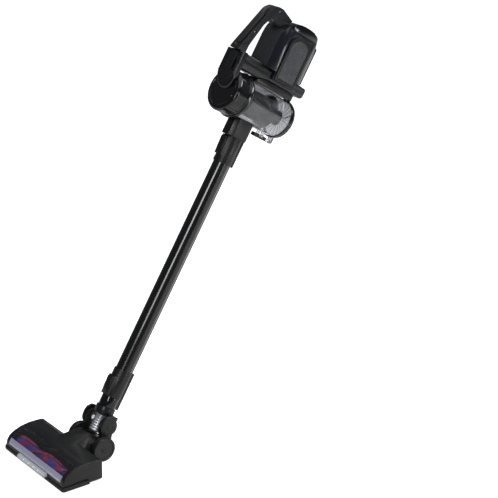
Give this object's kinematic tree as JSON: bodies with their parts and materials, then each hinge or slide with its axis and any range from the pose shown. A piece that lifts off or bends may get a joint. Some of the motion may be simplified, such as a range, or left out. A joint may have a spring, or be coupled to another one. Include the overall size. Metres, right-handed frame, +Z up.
{
  "type": "cordless stick vacuum",
  "caption": "Cordless stick vacuum: hand unit with clear cyclone cup, motor housing and loop handle, straight wand, swivel neck and motor brush head with rear wheels.",
  "frame": {"origin": "on the floor under the middle of the box round the standing, leaning vacuum", "axes": "+Z up, -Y to the front, where the brush head points, +X to the vacuum's left side, X = 0 is its mirror plane"},
  "size_m": [0.25, 0.7654, 0.953],
  "materials": {
    "gloss_black": "gloss",
    "satin_black": "satin",
    "dark_grey": "satin",
    "smoke_clear": "smoked clear",
    "filter_grey": "fine mesh",
    "soft_rubber": "matt",
    "tyre_rubber": "matt",
    "steel": "satin",
    "silver": "silvered",
    "violet_roller": "satin",
    "red_bristle": "brushed",
    "pale_lens": "frosted",
    "lamp_white": "clear",
    "filter_paper": "pleated",
    "circuit_green": "satin",
    "battery_blue": "satin"
  },
  "bodies": {
    "wand_unit": {"filter_cap": "gloss_black", "collar_ring": "gloss_black", "pleated_filter": "filter_paper", "dust_cup": "smoke_clear", "mesh_filter": "filter_grey", "cyclone_skirt": "filter_grey", "vortex_tube": "filter_grey", "cup_rim": "gloss_black", "lid_hinge_pin": "steel", "latch_pin": "steel", "inlet_duct": "satin_black", "upper_sleeve": "satin_black", "wand_tube": "gloss_black", "lower_sleeve": "satin_black", "neck_tube": "gloss_black", "spine_frame": "dark_grey", "cup_bracket": "satin_black", "control_board": "circuit_green", "bridge_cover": "satin_black", "motor_housing": "gloss_black", "rear_cover": "gloss_black", "vent_grille_left": "satin_black", "vent_grille_right": "satin_black", "handle_left": "dark_grey", "handle_right": "dark_grey", "grip_strip": "soft_rubber", "suction_motor": "steel", "battery_pack": "battery_blue", "battery_rail": "satin_black"},
    "power_button": {"power_button": "satin_black"},
    "base_lid": {"base_lid": "smoke_clear"},
    "cup_latch": {"cup_latch": "satin_black"},
    "upper_release": {"upper_release_button": "satin_black"},
    "lower_release": {"lower_release_button": "satin_black"},
    "motor_rotor": {"impeller": "silver", "motor_shaft": "steel"},
    "neck": {"neck_yoke": "satin_black", "flex_hose": "silver"},
    "head": {"head_shell": "satin_black", "brush_window": "smoke_clear", "front_diffuser": "pale_lens", "base_plate": "satin_black", "front_bumper": "soft_rubber", "light_bar": "smoke_clear", "lamp_board": "lamp_white", "roller_bearing_left": "satin_black", "roller_bearing_right": "satin_black", "brush_motor": "steel", "drive_belt": "soft_rubber", "tilt_pin_left": "steel", "tilt_pin_right": "steel", "wheel_axle": "steel"},
    "wheel_left": {"wheel_left": "tyre_rubber"},
    "wheel_right": {"wheel_right": "tyre_rubber"},
    "foot_roller_left": {"foot_roller_left": "soft_rubber"},
    "foot_roller_right": {"foot_roller_right": "soft_rubber"},
    "brush": {"brush_roller": "violet_roller", "bristle_strip_a": "red_bristle", "bristle_strip_b": "red_bristle"},
    "brush_pulley": {"motor_pulley": "steel"}
  },
  "joints": [
    {"name": "power_button_press", "type": "slide", "parent": "wand_unit", "child": "power_button", "axis": [0, 0.8545, -0.5195], "range_m": [0, 0.0015], "stiffness_N_per_m": 600, "springref_m": -0.001},
    {"name": "base_lid_hinge", "type": "hinge", "parent": "wand_unit", "child": "base_lid", "pos_m": [0, 0.31199, 0.73332], "axis": [1, 0, 0], "range_deg": [0, 90]},
    {"name": "cup_latch_pivot", "type": "hinge", "parent": "wand_unit", "child": "cup_latch", "pos_m": [0, 0.23225, 0.66031], "axis": [1, 0, 0], "range_deg": [-12, 0], "stiffness_Nm_per_rad": 0.05, "springref_deg": 8.59},
    {"name": "upper_release_press", "type": "slide", "parent": "wand_unit", "child": "upper_release", "axis": [0, 0.8545, -0.5195], "range_m": [0, 0.002], "stiffness_N_per_m": 800, "springref_m": -0.001},
    {"name": "lower_release_press", "type": "slide", "parent": "wand_unit", "child": "lower_release", "axis": [0, 0.8545, -0.5195], "range_m": [0, 0.002], "stiffness_N_per_m": 800, "springref_m": -0.001},
    {"name": "impeller_spin", "type": "hinge", "parent": "wand_unit", "child": "motor_rotor", "pos_m": [0, 0.29296, 0.83676], "axis": [1, 0, 0], "continuous": true},
    {"name": "neck_swivel", "type": "hinge", "parent": "wand_unit", "child": "neck", "pos_m": [0, -0.18748, 0.09663], "axis": [0, 0.5195, 0.8545], "range_deg": [-60, 60]},
    {"name": "neck_tilt", "type": "hinge", "parent": "neck", "child": "head", "pos_m": [0, -0.20306, 0.071], "axis": [1, 0, 0], "range_deg": [-31.3, 45], "deforming": ["flex_hose"]},
    {"name": "wheel_left_spin", "type": "hinge", "parent": "head", "child": "wheel_left", "pos_m": [-0.05, -0.22516, 0.028], "axis": [1, 0, 0], "continuous": true},
    {"name": "wheel_right_spin", "type": "hinge", "parent": "head", "child": "wheel_right", "pos_m": [0.05, -0.22516, 0.028], "axis": [1, 0, 0], "continuous": true},
    {"name": "foot_roller_left_spin", "type": "hinge", "parent": "head", "child": "foot_roller_left", "pos_m": [-0.07, -0.28716, 0.005], "axis": [1, 0, 0], "continuous": true},
    {"name": "foot_roller_right_spin", "type": "hinge", "parent": "head", "child": "foot_roller_right", "pos_m": [0.07, -0.28716, 0.005], "axis": [1, 0, 0], "continuous": true},
    {"name": "brush_spin", "type": "hinge", "parent": "head", "child": "brush", "pos_m": [0, -0.34816, 0.019], "axis": [1, 0, 0], "continuous": true},
    {"name": "brush_pulley_spin", "type": "hinge", "parent": "head", "child": "brush_pulley", "pos_m": [0.104, -0.29816, 0.025], "axis": [1, 0, 0], "continuous": true}
  ],
  "couplings": [
    {"joint": "brush_pulley_spin", "follows": "brush_spin", "ratio": 2}
  ]
}
